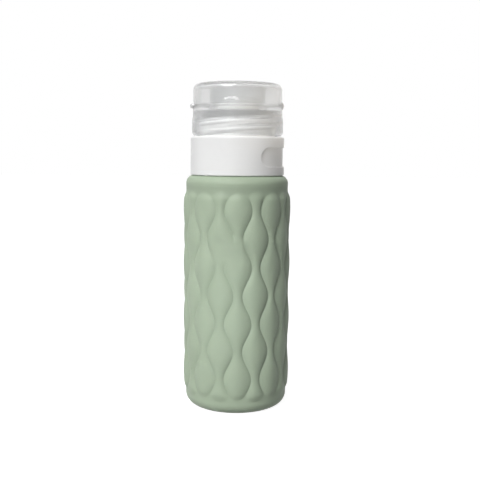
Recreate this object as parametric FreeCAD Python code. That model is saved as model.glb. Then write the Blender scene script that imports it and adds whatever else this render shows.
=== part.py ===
"""Squeezable travel bottle: a ribbed silicone body, a rigid threaded neck with a turning label collar,
and a screw cap with a slit valve and a flip lid on a film hinge.

Millimetres, +Z up, origin at the centre of the foot. The front of the bottle faces -Y,
the lid hinges at +X and its thumb tab points to -X.
"""

import FreeCAD
import Part
import math
import os

# Silicone body
BODY_HEIGHT = 94.8
BAND_RADIUS = 20.9
SILICONE_WALL = 2.2
FLOOR_THICKNESS = 2.6
SHOULDER_THICKNESS = 2.6
BASE_ROUND = 5.2
SHOULDER_ROUND = 3.4
CAVITY_ROUND = 4.0
FOOT_RECESS_RADIUS = 10.0
FOOT_RECESS_SLOPE = 1.6
FOOT_RECESS_DEPTH = 0.8
SILICONE_NECK_WALL = 1.95
SILICONE_LIP_WIDTH = 1.1
SILICONE_LIP_THICKNESS = 1.4

# Wave relief of the body: lobes that swell and narrow in turn, side by side
LOBE_PAIRS = 9
LOBE_FRONT_ANGLE = 2.0
LOBE_RISE = 1.05
GROOVE_RISE = 0.1
LOBE_SWING_SHARE = 0.51
WAVE_COUNT = 3
SECTIONS_PER_WAVE = 6
FOOT_BULGE_INSET = 5.2
TOP_BULGE_INSET = 3.65
RELIEF_END_LENGTH = 4.0
RELIEF_END_SINK = 0.25
FOOT_BAND_HEIGHT = 5.3
TOP_BAND_HEIGHT = 5.6

# Rigid neck that plugs into the silicone and carries the cap
BORE_RADIUS = 12.6
INSERT_WALL = 1.6
INSERT_DEPTH = 3.4
BARB_COUNT = 3
BARB_RISE = 0.35
BARB_LENGTH = 2.4
BARB_PITCH = 4.0
FLANGE_THICKNESS = 1.3
SPOUT_WALL = 2.6

# Clamp ring round the silicone neck, and the label ring that it carries
CLAMP_WALL = 1.15
CLAMP_FOOT_HEIGHT = 1.8
SNAP_GROOVE_DEPTH = 0.35
SNAP_GROOVE_HEIGHT = 0.8
LABEL_WALL = 1.05

# Turning collar with its label window
COLLAR_HEIGHT = 15.3
COLLAR_WALL = 0.4
COLLAR_DRAFT = 0.1
COLLAR_LIP_THICKNESS = 1.1
COLLAR_TOP_BEVEL = 0.35
SNAP_BEAD_RISE = 0.25
SNAP_BEAD_HEIGHT = 0.5
WINDOW_HEIGHT = 7.5
WINDOW_SPAN_ANGLE = 90.0
WINDOW_CENTRE_ANGLE = 75.0

# Screw cap
THREAD_ROOM = 1.4
SKIRT_WALL = 1.55
SKIRT_HEIGHT = 11.9
SKIRT_TOE = 0.35
SKIRT_BEAD_RISE = 0.35
SKIRT_BEAD_RAISE = 1.3
SKIRT_BEAD_HEIGHT = 4.6
SKIRT_BEAD_TAPER = 2.0
DECK_THICKNESS = 1.5
RIM_WIDTH = 2.1
RIM_HEIGHT = 0.5
GASKET_THICKNESS = 3.8
GASKET_INSET = 0.25
GASKET_EDGE = 0.7

# Slit valve in the nozzle
NOZZLE_WALL = 1.0
NOZZLE_HEIGHT = 4.0
EXIT_RADIUS = 6.6
EXIT_FLARE = 0.8
VALVE_FLANGE_WIDTH = 1.9
VALVE_FLANGE_THICKNESS = 1.0
VALVE_WALL = 0.7
VALVE_DOME_HEIGHT = 1.4
VALVE_EXIT_CLEARANCE = 0.4
VALVE_DEPTH = 2.5
SLIT_LENGTH = 7.0
SLIT_WIDTH = 0.2
RETAINER_WIDTH = 2.3
RETAINER_THICKNESS = 1.6

# Flip lid
LID_STEP = 0.1
LID_HEIGHT = 8.75
LID_WALL = 1.5
LID_TOP_THICKNESS = 1.5
LID_TOP_ROUND = 2.5
SEAL_RING_CLEARANCE = 0.5
SEAL_RING_WALL = 1.1
SEAL_RING_DROP = 6.4
PLUG_RADIUS = 2.8
PLUG_GAP = 0.3
TAB_REACH = 1.2
TAB_WIDTH = 7.0
TAB_DROP = 1.3
TAB_RISE = 0.8
TAB_GAP = 0.15

# Film hinge between the cap and the lid
HINGE_SPAN_ANGLE = 26.0
HINGE_BOW = 0.65
HINGE_FILM = 0.35
HINGE_HALF_HEIGHT = 1.5

# Fits and small edges
FIT_GAP = 0.05
TURN_GAP = 0.1
COLLAR_GAP = 0.3
CAP_GAP = 0.4
SEAM_GAP = 0.15
EDGE_BEVEL = 0.2
INNER_BEVEL = 0.5
OVERRUN = 1.0
PAIR_LIMIT_SHARE = 0.49
LONE_LIMIT_SHARE = 0.95

# Radii, worked outwards from the bore
INSERT_RADIUS = BORE_RADIUS + INSERT_WALL
SILICONE_NECK_BORE = INSERT_RADIUS + FIT_GAP
SILICONE_NECK_RADIUS = SILICONE_NECK_BORE + SILICONE_NECK_WALL
SILICONE_LIP_RADIUS = SILICONE_NECK_RADIUS + SILICONE_LIP_WIDTH
CLAMP_BORE = SILICONE_NECK_RADIUS + FIT_GAP
CLAMP_RADIUS = CLAMP_BORE + CLAMP_WALL
LABEL_BORE = CLAMP_RADIUS + FIT_GAP
LABEL_RADIUS = LABEL_BORE + LABEL_WALL
COLLAR_BORE = LABEL_RADIUS + TURN_GAP
COLLAR_TOP_RADIUS = COLLAR_BORE + COLLAR_WALL
COLLAR_FOOT_RADIUS = COLLAR_TOP_RADIUS + COLLAR_DRAFT
SPOUT_RADIUS = BORE_RADIUS + SPOUT_WALL
SKIRT_BORE = SPOUT_RADIUS + THREAD_ROOM
SKIRT_RADIUS = SKIRT_BORE + SKIRT_WALL
LID_RADIUS = SKIRT_RADIUS - LID_STEP
CAVITY_RADIUS = BAND_RADIUS - SILICONE_WALL
VALVE_RADIUS = EXIT_RADIUS + VALVE_FLANGE_WIDTH
VALVE_POCKET_RADIUS = VALVE_RADIUS + FIT_GAP
VALVE_DOME_RADIUS = EXIT_RADIUS - VALVE_EXIT_CLEARANCE
NOZZLE_RADIUS = VALVE_POCKET_RADIUS + NOZZLE_WALL
SEAL_RING_BORE = NOZZLE_RADIUS + SEAL_RING_CLEARANCE
SEAL_RING_RADIUS = SEAL_RING_BORE + SEAL_RING_WALL

# Heights of the wave relief, between the plain bands at the foot and under the shoulder
RELIEF_BOTTOM = FOOT_BAND_HEIGHT + RELIEF_END_LENGTH
RELIEF_TOP = BODY_HEIGHT - TOP_BAND_HEIGHT - RELIEF_END_LENGTH
FIRST_BULGE_HEIGHT = RELIEF_BOTTOM + FOOT_BULGE_INSET
WAVE_PITCH = (RELIEF_TOP - TOP_BULGE_INSET - FIRST_BULGE_HEIGHT) / WAVE_COUNT

# Heights, worked upwards from the shoulder of the body
COLLAR_BOTTOM = BODY_HEIGHT + COLLAR_GAP
COLLAR_TOP = COLLAR_BOTTOM + COLLAR_HEIGHT
COLLAR_LIP_BOTTOM = COLLAR_TOP - COLLAR_LIP_THICKNESS
FLANGE_TOP = COLLAR_LIP_BOTTOM - TURN_GAP
FLANGE_BOTTOM = FLANGE_TOP - FLANGE_THICKNESS
SILICONE_LIP_BOTTOM = FLANGE_BOTTOM - SILICONE_LIP_THICKNESS
CLAMP_FOOT_TOP = BODY_HEIGHT + CLAMP_FOOT_HEIGHT
SNAP_HEIGHT = COLLAR_BOTTOM + (CLAMP_FOOT_TOP - COLLAR_BOTTOM) / 2
SKIRT_BOTTOM = COLLAR_TOP + CAP_GAP
SEAM_HEIGHT = SKIRT_BOTTOM + SKIRT_HEIGHT
DECK_TOP = SEAM_HEIGHT - RIM_HEIGHT
DECK_BOTTOM = DECK_TOP - DECK_THICKNESS
SPOUT_TOP = DECK_BOTTOM - GASKET_THICKNESS
NOZZLE_TOP = DECK_TOP + NOZZLE_HEIGHT
VALVE_SEAT = NOZZLE_TOP - VALVE_DEPTH
VALVE_FLANGE_BOTTOM = VALVE_SEAT - VALVE_FLANGE_THICKNESS
VALVE_TOP = VALVE_SEAT + VALVE_DOME_HEIGHT
LID_BOTTOM = SEAM_HEIGHT + SEAM_GAP
LID_TOP = LID_BOTTOM + LID_HEIGHT
LID_CEILING = LID_TOP - LID_TOP_THICKNESS
HINGE_HEIGHT = SEAM_HEIGHT + SEAM_GAP / 2

ORIGIN = FreeCAD.Vector(0, 0, 0)
UP = FreeCAD.Vector(0, 0, 1)


def sharp(radius, height):
    """Plain corner of an outline."""
    return radius, height, 0, False


def bevelled(radius, height, size):
    """Corner of an outline that is cut off flat."""
    return radius, height, size, False


def rounded(radius, height, size):
    """Corner of an outline that is eased by a tangent arc."""
    return radius, height, size, True


def easing_room(length, far_size):
    """How much of a side an easing may take: half of it where the far corner is eased too."""
    return length * (PAIR_LIMIT_SHARE if far_size else LONE_LIMIT_SHARE)


def outline_wire(corners):
    """Closed wire in the XZ plane through sharp, bevelled and rounded corners."""
    points = [FreeCAD.Vector(radius, 0, height) for radius, height, _, _ in corners]
    sizes = [size for _, _, size, _ in corners]
    starts = []
    ends = []
    easings = []
    for index, (_, _, size, is_round) in enumerate(corners):
        corner = points[index]
        following = (index + 1) % len(points)
        back = points[index - 1] - corner
        ahead = points[following] - corner
        half_angle = back.getAngle(ahead) / 2
        reach = size / math.tan(half_angle) if is_round else size
        room_back = easing_room(back.Length, sizes[index - 1])
        room_ahead = easing_room(ahead.Length, sizes[following])
        reach = min(reach, room_back, room_ahead)
        back.normalize()
        ahead.normalize()
        start = corner + back * reach
        end = corner + ahead * reach
        starts.append(start)
        ends.append(end)
        if reach == 0:
            easings.append(None)
        elif is_round:
            radius = reach * math.tan(half_angle)
            inward = (back + ahead).normalize()
            middle = corner + inward * (radius / math.sin(half_angle) - radius)
            easings.append(Part.Arc(start, middle, end))
        else:
            easings.append(Part.LineSegment(start, end))
    edges = []
    for index, easing in enumerate(easings):
        edges.append(Part.LineSegment(ends[index - 1], starts[index]).toShape())
        if easing is not None:
            edges.append(easing.toShape())
    return Part.Wire(edges)


def revolved(corners, turn=360):
    """Solid of revolution about Z of a closed outline of corners, each a radius and a height."""
    return Part.Face(outline_wire(corners)).revolve(ORIGIN, UP, turn)


def polar(radius, angle, height):
    """Point at a radius and height, at an angle in degrees measured from the front towards +X."""
    turn = math.radians(angle)
    return FreeCAD.Vector(radius * math.sin(turn), -radius * math.cos(turn), height)


def relief_sink(height):
    """How far the relief has sunk at a height: nothing along the body, then a parabola at each end."""
    past = max(RELIEF_BOTTOM - height, height - RELIEF_TOP, 0)
    return (LOBE_RISE + GROOVE_RISE + RELIEF_END_SINK) * (past / RELIEF_END_LENGTH) ** 2


def lobed_section(height):
    """Closed ring of arcs at one height: wide lobes beside narrow ones, which swap along a wave."""
    pitch_angle = 180 / LOBE_PAIRS
    wave = math.cos(2 * math.pi * (height - FIRST_BULGE_HEIGHT) / WAVE_PITCH)
    groove_radius = BAND_RADIUS + GROOVE_RISE - relief_sink(height)
    edges = []
    for lobe in range(2 * LOBE_PAIRS):
        centre = LOBE_FRONT_ANGLE + lobe * pitch_angle
        side = 1 if lobe % 2 == 0 else -1
        half_share = (1 + side * LOBE_SWING_SHARE * wave) / 2
        half_angle = half_share * pitch_angle
        crest_radius = groove_radius + LOBE_RISE * math.sqrt(2 * half_share / (1 + LOBE_SWING_SHARE))
        start = polar(groove_radius, centre - half_angle, height)
        crest = polar(crest_radius, centre, height)
        end = polar(groove_radius, centre + half_angle, height)
        edges.append(Part.Arc(start, crest, end).toShape())
    return Part.Wire(edges)


def wave_relief():
    """Solid bounded by the lobed skin, lofted through evenly spaced sections."""
    low = RELIEF_BOTTOM - RELIEF_END_LENGTH
    high = RELIEF_TOP + RELIEF_END_LENGTH
    steps = math.ceil((high - low) / WAVE_PITCH * SECTIONS_PER_WAVE)
    heights = [low + (high - low) * step / steps for step in range(steps + 1)]
    return Part.makeLoft([lobed_section(height) for height in heights], True)


def barbed_side(radius):
    """Corners up the side of the neck tube, with a row of saw-tooth barbs."""
    first = FLANGE_BOTTOM - BARB_COUNT * BARB_PITCH
    corners = []
    for barb in range(BARB_COUNT):
        foot = first + barb * BARB_PITCH
        corners.append(sharp(radius, foot))
        corners.append(sharp(radius + BARB_RISE, foot + BARB_LENGTH))
        corners.append(sharp(radius, foot + BARB_LENGTH))
    return corners


def silicone_bottle():
    """Soft squeezable body: foot, waved wall, shoulder and a lipped neck, hollow inside."""
    core = revolved(
        [
            sharp(0, FOOT_RECESS_DEPTH),
            bevelled(FOOT_RECESS_RADIUS, FOOT_RECESS_DEPTH, INNER_BEVEL),
            bevelled(FOOT_RECESS_RADIUS + FOOT_RECESS_SLOPE, 0, INNER_BEVEL),
            rounded(BAND_RADIUS, 0, BASE_ROUND),
            rounded(BAND_RADIUS, BODY_HEIGHT, SHOULDER_ROUND),
            sharp(SILICONE_NECK_RADIUS, BODY_HEIGHT),
            sharp(SILICONE_NECK_RADIUS, SILICONE_LIP_BOTTOM),
            bevelled(SILICONE_LIP_RADIUS, SILICONE_LIP_BOTTOM, EDGE_BEVEL),
            bevelled(SILICONE_LIP_RADIUS, FLANGE_BOTTOM, EDGE_BEVEL),
            sharp(0, FLANGE_BOTTOM),
        ]
    )
    ceiling = BODY_HEIGHT - SHOULDER_THICKNESS
    cavity = revolved(
        [
            sharp(0, FLOOR_THICKNESS),
            rounded(CAVITY_RADIUS, FLOOR_THICKNESS, CAVITY_ROUND),
            rounded(CAVITY_RADIUS, ceiling, SHOULDER_ROUND),
            bevelled(SILICONE_NECK_BORE, ceiling, INNER_BEVEL),
            *barbed_side(SILICONE_NECK_BORE),
            sharp(SILICONE_NECK_BORE, FLANGE_BOTTOM + OVERRUN),
            sharp(0, FLANGE_BOTTOM + OVERRUN),
        ]
    )
    return core.fuse(wave_relief()).cut(cavity)


def neck_insert():
    """Rigid neck: a barbed tube in the silicone, a flange over its lip and the spout that takes the cap."""
    insert_bottom = BODY_HEIGHT - INSERT_DEPTH
    return revolved(
        [
            bevelled(BORE_RADIUS, insert_bottom, INNER_BEVEL),
            bevelled(INSERT_RADIUS, insert_bottom, INNER_BEVEL),
            *barbed_side(INSERT_RADIUS),
            sharp(INSERT_RADIUS, FLANGE_BOTTOM),
            bevelled(LABEL_RADIUS, FLANGE_BOTTOM, EDGE_BEVEL),
            bevelled(LABEL_RADIUS, FLANGE_TOP, EDGE_BEVEL),
            bevelled(SPOUT_RADIUS, FLANGE_TOP, EDGE_BEVEL),
            bevelled(SPOUT_RADIUS, SPOUT_TOP, INNER_BEVEL),
            bevelled(BORE_RADIUS, SPOUT_TOP, INNER_BEVEL),
        ]
    )


def clamp_ring():
    """Ring that squeezes the silicone neck onto the barbs; the collar snaps into the groove in its foot."""
    groove_bottom = SNAP_HEIGHT - SNAP_GROOVE_HEIGHT / 2
    groove_top = SNAP_HEIGHT + SNAP_GROOVE_HEIGHT / 2
    groove_radius = LABEL_RADIUS - SNAP_GROOVE_DEPTH
    return revolved(
        [
            bevelled(CLAMP_BORE, BODY_HEIGHT, EDGE_BEVEL),
            bevelled(LABEL_RADIUS, BODY_HEIGHT, EDGE_BEVEL),
            sharp(LABEL_RADIUS, groove_bottom),
            sharp(groove_radius, groove_bottom),
            sharp(groove_radius, groove_top),
            sharp(LABEL_RADIUS, groove_top),
            sharp(LABEL_RADIUS, CLAMP_FOOT_TOP),
            sharp(CLAMP_RADIUS, CLAMP_FOOT_TOP),
            bevelled(CLAMP_RADIUS, SILICONE_LIP_BOTTOM, EDGE_BEVEL),
            bevelled(CLAMP_BORE, SILICONE_LIP_BOTTOM, EDGE_BEVEL),
        ]
    )


def label_ring():
    """Plain ring behind the collar's window, standing on the clamp ring's foot."""
    return revolved(
        [
            sharp(LABEL_BORE, CLAMP_FOOT_TOP),
            bevelled(LABEL_RADIUS, CLAMP_FOOT_TOP, EDGE_BEVEL),
            bevelled(LABEL_RADIUS, FLANGE_BOTTOM, EDGE_BEVEL),
            sharp(LABEL_BORE, FLANGE_BOTTOM),
        ]
    )


def window_cutter():
    """Obround slot round the collar: a ring sector with a radial cylinder at each end."""
    half_height = WINDOW_HEIGHT / 2
    centre = (CLAMP_FOOT_TOP + FLANGE_BOTTOM) / 2
    inner = COLLAR_BORE - OVERRUN
    outer = COLLAR_FOOT_RADIUS + OVERRUN
    end_angle = math.degrees(half_height / COLLAR_FOOT_RADIUS)
    first_angle = WINDOW_CENTRE_ANGLE - WINDOW_SPAN_ANGLE / 2 + end_angle
    last_angle = WINDOW_CENTRE_ANGLE + WINDOW_SPAN_ANGLE / 2 - end_angle
    slot = revolved(
        [
            sharp(inner, centre - half_height),
            sharp(outer, centre - half_height),
            sharp(outer, centre + half_height),
            sharp(inner, centre + half_height),
        ],
        last_angle - first_angle,
    )
    slot.rotate(ORIGIN, UP, first_angle - 90)
    for angle in (first_angle, last_angle):
        start = polar(inner, angle, centre)
        outward = polar(outer, angle, centre) - start
        slot = slot.fuse(Part.makeCylinder(half_height, outward.Length, start, outward))
    return slot


def collar():
    """Turning sleeve with a lip over the neck's flange, a snap bead near its foot and the label window."""
    bead_bottom = SNAP_HEIGHT - SNAP_BEAD_HEIGHT / 2
    bead_top = SNAP_HEIGHT + SNAP_BEAD_HEIGHT / 2
    bead_radius = COLLAR_BORE - SNAP_BEAD_RISE
    sleeve = revolved(
        [
            bevelled(COLLAR_BORE, COLLAR_BOTTOM, EDGE_BEVEL),
            bevelled(COLLAR_FOOT_RADIUS, COLLAR_BOTTOM, EDGE_BEVEL),
            bevelled(COLLAR_TOP_RADIUS, COLLAR_TOP, COLLAR_TOP_BEVEL),
            bevelled(SKIRT_BORE, COLLAR_TOP, EDGE_BEVEL),
            bevelled(SKIRT_BORE, COLLAR_LIP_BOTTOM, EDGE_BEVEL),
            sharp(COLLAR_BORE, COLLAR_LIP_BOTTOM),
            sharp(COLLAR_BORE, bead_top),
            bevelled(bead_radius, bead_top, EDGE_BEVEL),
            bevelled(bead_radius, bead_bottom, EDGE_BEVEL),
            sharp(COLLAR_BORE, bead_bottom),
        ]
    )
    return sleeve.cut(window_cutter())


def cap_gasket():
    """Deep sealing ring between the spout's rim and the underside of the cap's deck."""
    return revolved(
        [
            sharp(BORE_RADIUS + GASKET_INSET, SPOUT_TOP),
            sharp(SPOUT_RADIUS - GASKET_EDGE, SPOUT_TOP),
            sharp(SPOUT_RADIUS - GASKET_EDGE, DECK_BOTTOM),
            sharp(BORE_RADIUS + GASKET_INSET, DECK_BOTTOM),
        ]
    )


def cap_base():
    """Screw cap: skirt with a grip bead, deck with a raised rim, and the nozzle with its valve pocket."""
    bead_radius = SKIRT_RADIUS + SKIRT_BEAD_RISE
    bead_bottom = SKIRT_BOTTOM + SKIRT_BEAD_RAISE
    bead_top = bead_bottom + SKIRT_BEAD_HEIGHT
    return revolved(
        [
            bevelled(SKIRT_BORE, SKIRT_BOTTOM, EDGE_BEVEL),
            bevelled(SKIRT_RADIUS - SKIRT_TOE, SKIRT_BOTTOM, EDGE_BEVEL),
            bevelled(bead_radius, bead_bottom, INNER_BEVEL),
            bevelled(bead_radius, bead_top, INNER_BEVEL),
            bevelled(SKIRT_RADIUS, bead_top + SKIRT_BEAD_TAPER, INNER_BEVEL),
            bevelled(SKIRT_RADIUS, SEAM_HEIGHT, EDGE_BEVEL),
            bevelled(SKIRT_RADIUS - RIM_WIDTH, SEAM_HEIGHT, EDGE_BEVEL),
            bevelled(SKIRT_RADIUS - RIM_WIDTH, DECK_TOP, EDGE_BEVEL),
            bevelled(NOZZLE_RADIUS, DECK_TOP, INNER_BEVEL),
            bevelled(NOZZLE_RADIUS, NOZZLE_TOP, INNER_BEVEL),
            bevelled(EXIT_RADIUS + EXIT_FLARE, NOZZLE_TOP, EDGE_BEVEL),
            bevelled(EXIT_RADIUS, VALVE_TOP, INNER_BEVEL),
            sharp(EXIT_RADIUS, VALVE_SEAT),
            sharp(VALVE_POCKET_RADIUS, VALVE_SEAT),
            sharp(VALVE_POCKET_RADIUS, DECK_BOTTOM),
            sharp(SKIRT_BORE, DECK_BOTTOM),
        ]
    )


def slit_valve():
    """Top-hat silicone valve: a clamped flange, a short wall and a membrane with a crossed slit."""
    hat = revolved(
        [
            sharp(0, VALVE_TOP - VALVE_WALL),
            bevelled(VALVE_DOME_RADIUS - VALVE_WALL, VALVE_TOP - VALVE_WALL, INNER_BEVEL),
            sharp(VALVE_DOME_RADIUS - VALVE_WALL, VALVE_FLANGE_BOTTOM),
            bevelled(VALVE_RADIUS, VALVE_FLANGE_BOTTOM, EDGE_BEVEL),
            bevelled(VALVE_RADIUS, VALVE_SEAT, EDGE_BEVEL),
            bevelled(VALVE_DOME_RADIUS, VALVE_SEAT, EDGE_BEVEL),
            bevelled(VALVE_DOME_RADIUS, VALVE_TOP, INNER_BEVEL),
            sharp(0, VALVE_TOP),
        ]
    )
    for length, width in ((SLIT_LENGTH, SLIT_WIDTH), (SLIT_WIDTH, SLIT_LENGTH)):
        corner = FreeCAD.Vector(-length / 2, -width / 2, VALVE_SEAT)
        hat = hat.cut(Part.makeBox(length, width, VALVE_DOME_HEIGHT + OVERRUN, corner))
    return hat


def valve_retainer():
    """Ring pressed into the nozzle from below, which clamps the valve's flange."""
    bottom = VALVE_FLANGE_BOTTOM - RETAINER_THICKNESS
    return revolved(
        [
            bevelled(VALVE_RADIUS - RETAINER_WIDTH, bottom, EDGE_BEVEL),
            bevelled(VALVE_RADIUS, bottom, EDGE_BEVEL),
            sharp(VALVE_RADIUS, VALVE_FLANGE_BOTTOM),
            bevelled(VALVE_RADIUS - RETAINER_WIDTH, VALVE_FLANGE_BOTTOM, EDGE_BEVEL),
        ]
    )


def thumb_tab():
    """Small lip on the lid's lower edge, opposite the hinge, which hangs over the top of the skirt."""
    root = LID_RADIUS - LID_WALL / 2
    back = SKIRT_RADIUS + TAB_GAP
    tip = LID_RADIUS + TAB_REACH
    low = LID_BOTTOM - TAB_DROP
    high = LID_BOTTOM + TAB_RISE
    outline = outline_wire(
        [
            sharp(root, LID_BOTTOM),
            sharp(back, LID_BOTTOM),
            bevelled(back, low, EDGE_BEVEL),
            bevelled(tip, low, INNER_BEVEL),
            bevelled(tip, high, INNER_BEVEL),
            sharp(root, high),
        ]
    )
    tab = Part.Face(outline).extrude(FreeCAD.Vector(0, TAB_WIDTH, 0))
    tab.translate(FreeCAD.Vector(0, -TAB_WIDTH / 2, 0))
    tab.rotate(ORIGIN, UP, 180)
    return tab


def lid():
    """Flip lid: a shallow cup with a seal ring round the nozzle, a plug over the valve and a thumb tab."""
    cup = revolved(
        [
            bevelled(LID_RADIUS - LID_WALL, LID_BOTTOM, EDGE_BEVEL),
            bevelled(LID_RADIUS, LID_BOTTOM, EDGE_BEVEL),
            rounded(LID_RADIUS, LID_TOP, LID_TOP_ROUND),
            sharp(0, LID_TOP),
            sharp(0, VALVE_TOP + PLUG_GAP),
            bevelled(PLUG_RADIUS, VALVE_TOP + PLUG_GAP, INNER_BEVEL),
            bevelled(PLUG_RADIUS, LID_CEILING, INNER_BEVEL),
            bevelled(SEAL_RING_BORE, LID_CEILING, INNER_BEVEL),
            bevelled(SEAL_RING_BORE, LID_CEILING - SEAL_RING_DROP, EDGE_BEVEL),
            bevelled(SEAL_RING_RADIUS, LID_CEILING - SEAL_RING_DROP, EDGE_BEVEL),
            bevelled(SEAL_RING_RADIUS, LID_CEILING, INNER_BEVEL),
            bevelled(LID_RADIUS - LID_WALL, LID_CEILING, INNER_BEVEL),
        ]
    )
    return cup.fuse(thumb_tab())


def living_hinge():
    """Thin bowed strap of film from the cap's wall, across the seam, to the lid's wall."""
    inner = SKIRT_RADIUS + FIT_GAP
    bow = inner + HINGE_BOW
    low = HINGE_HEIGHT - HINGE_HALF_HEIGHT
    high = HINGE_HEIGHT + HINGE_HALF_HEIGHT
    strap = revolved(
        [
            sharp(inner, low),
            bevelled(inner + HINGE_FILM, low, EDGE_BEVEL),
            bevelled(bow, HINGE_HEIGHT, INNER_BEVEL),
            bevelled(inner + HINGE_FILM, high, EDGE_BEVEL),
            sharp(inner, high),
            bevelled(bow - HINGE_FILM, HINGE_HEIGHT, INNER_BEVEL),
        ],
        HINGE_SPAN_ANGLE,
    )
    strap.rotate(ORIGIN, UP, -HINGE_SPAN_ANGLE / 2)
    return strap


PIECES = (
    silicone_bottle,
    neck_insert,
    clamp_ring,
    label_ring,
    collar,
    cap_gasket,
    cap_base,
    slit_valve,
    valve_retainer,
    lid,
    living_hinge,
)


def main():
    """Builds every piece and writes it under its own name."""
    os.makedirs("parts", exist_ok=True)
    for piece in PIECES:
        shape = piece()
        shape.exportStep(f"parts/{piece.__name__}.step")
        print(piece.__name__, "solids", len(shape.Solids), "valid", shape.isValid())


main()
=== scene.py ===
import logging
import math
from dataclasses import dataclass, field
from enum import Enum
from typing import NamedTuple

import bmesh
import bpy
import numpy as np
from mathutils import Matrix


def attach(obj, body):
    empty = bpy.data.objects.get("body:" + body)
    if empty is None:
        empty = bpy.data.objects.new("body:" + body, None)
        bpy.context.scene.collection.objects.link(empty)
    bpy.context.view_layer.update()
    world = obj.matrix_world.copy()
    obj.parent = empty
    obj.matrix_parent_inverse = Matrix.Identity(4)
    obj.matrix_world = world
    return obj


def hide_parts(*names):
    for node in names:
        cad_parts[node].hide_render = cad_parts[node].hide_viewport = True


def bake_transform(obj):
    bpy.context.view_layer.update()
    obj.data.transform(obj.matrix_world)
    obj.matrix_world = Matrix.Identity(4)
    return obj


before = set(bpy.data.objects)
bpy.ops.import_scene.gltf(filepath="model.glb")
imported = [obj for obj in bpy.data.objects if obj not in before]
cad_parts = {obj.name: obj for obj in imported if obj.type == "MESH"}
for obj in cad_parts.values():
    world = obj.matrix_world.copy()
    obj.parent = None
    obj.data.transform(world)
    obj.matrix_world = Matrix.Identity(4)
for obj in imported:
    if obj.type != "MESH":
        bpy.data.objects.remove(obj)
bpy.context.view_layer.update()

LOG = logging.getLogger("travel_bottle")

Triple = tuple[float, float, float]
Pair = tuple[float, float]
Socket = bpy.types.NodeSocket

# Lengths of the pieces are in millimetres, which MM makes metres, and their angles in degrees.
MM = 0.001
FULL_TURN = 2 * math.pi
TINY = 1e-6
# Points of a piece closer than this, in metres, are welded.
WELD_REACH = 2e-6
# Edges that turn by more than this many degrees stay crisp.
SHARP_ANGLE = 40.0
# Points on each eased corner, and steps round the axis, of an ordinary turned piece.
ARC_STEPS = 7
TURN_STEPS = 144
# The share of an edge that an eased corner may take, where the next corner is eased too and where it isn't.
SHARED_ROOM = 0.48
LONE_ROOM = 0.95
# Distance of guard points from an eased corner, in millimetres, and the most of the flat that they may take.
GUARD = 0.35
GUARD_SHARE = 0.4
# Outline points closer than this to the one before, in millimetres, are left out.
LEAST_STEP = 1e-5


class Body(str, Enum):
    """Moving bodies of the bottle that pieces ride on."""

    BOTTLE = "bottle"
    COLLAR = "collar"
    CAP_SEAL = "cap_seal"
    CAP = "cap"
    LID = "lid"


class Slot(str, Enum):
    """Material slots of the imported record."""

    GREEN_SILICONE = "green_silicone"
    WHITE_PLASTIC = "white_plastic"
    CLEAR_PLASTIC = "clear_plastic"
    CLEAR_SILICONE = "clear_silicone"


class Effect(Enum):
    """What a lamp adds: everything, only the tone of surfaces, or only their gloss."""

    ALL = "all"
    TONE = "tone"
    GLOSS = "gloss"


class Ease(float, Enum):
    """Radii that ease the edges of the mouldings, in millimetres."""

    HAIR = 0.1
    CRISP = 0.15
    FINE = 0.2
    SLIGHT = 0.25
    SMALL = 0.3
    MEDIUM = 0.4
    SOFT = 0.5
    ROUND = 0.6


class Seat(NamedTuple):
    """Where a piece belongs: its moving body, its material slot and the solid that it stands for."""

    body: Body
    slot: Slot
    node: str


class Corner(NamedTuple):
    """Corner of a turned outline, in millimetres, with the radius of the arc that eases it."""

    radius: float
    height: float
    rounding: float = 0.0


@dataclass
class Surface:
    """Points in millimetres and the four-sided faces between them."""

    points: np.ndarray
    faces: np.ndarray
    shade: np.ndarray | None = None

    def joined(self, *others: "Surface") -> "Surface":
        """Put several surfaces into one list of points and faces.

        Args:
            others: Surfaces to add after this one.

        Returns:
            One surface that holds them all.
        """
        points, faces, shade, start = [], [], [], 0
        for part in (self, *others):
            points.append(part.points)
            faces.append(part.faces + start)
            shade.append(np.zeros(len(part.points)) if part.shade is None else part.shade)
            start += len(part.points)
        return Surface(np.concatenate(points), np.concatenate(faces), np.concatenate(shade))

    def reach(self) -> np.ndarray:
        """Return each point's distance from the bottle's axis."""
        return np.hypot(self.points[:, 0], self.points[:, 1])


def grid_faces(rows: int, columns: int, wrap_rows: bool = False, wrap_columns: bool = False) -> np.ndarray:
    """List the quads of a grid of points stored row by row.

    Args:
        rows: Number of rows.
        columns: Number of points in a row.
        wrap_rows: Whether the last row joins the first.
        wrap_columns: Whether the last column joins the first.

    Returns:
        Array of four point numbers per quad.
    """
    row = np.arange(rows if wrap_rows else rows - 1)[:, None]
    column = np.arange(columns if wrap_columns else columns - 1)[None, :]
    next_row, next_column = (row + 1) % rows, (column + 1) % columns
    corners = [
        row * columns + column,
        row * columns + next_column,
        next_row * columns + next_column,
        next_row * columns + column,
    ]
    return np.stack(np.broadcast_arrays(*corners), axis=-1).reshape(-1, 4)


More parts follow.
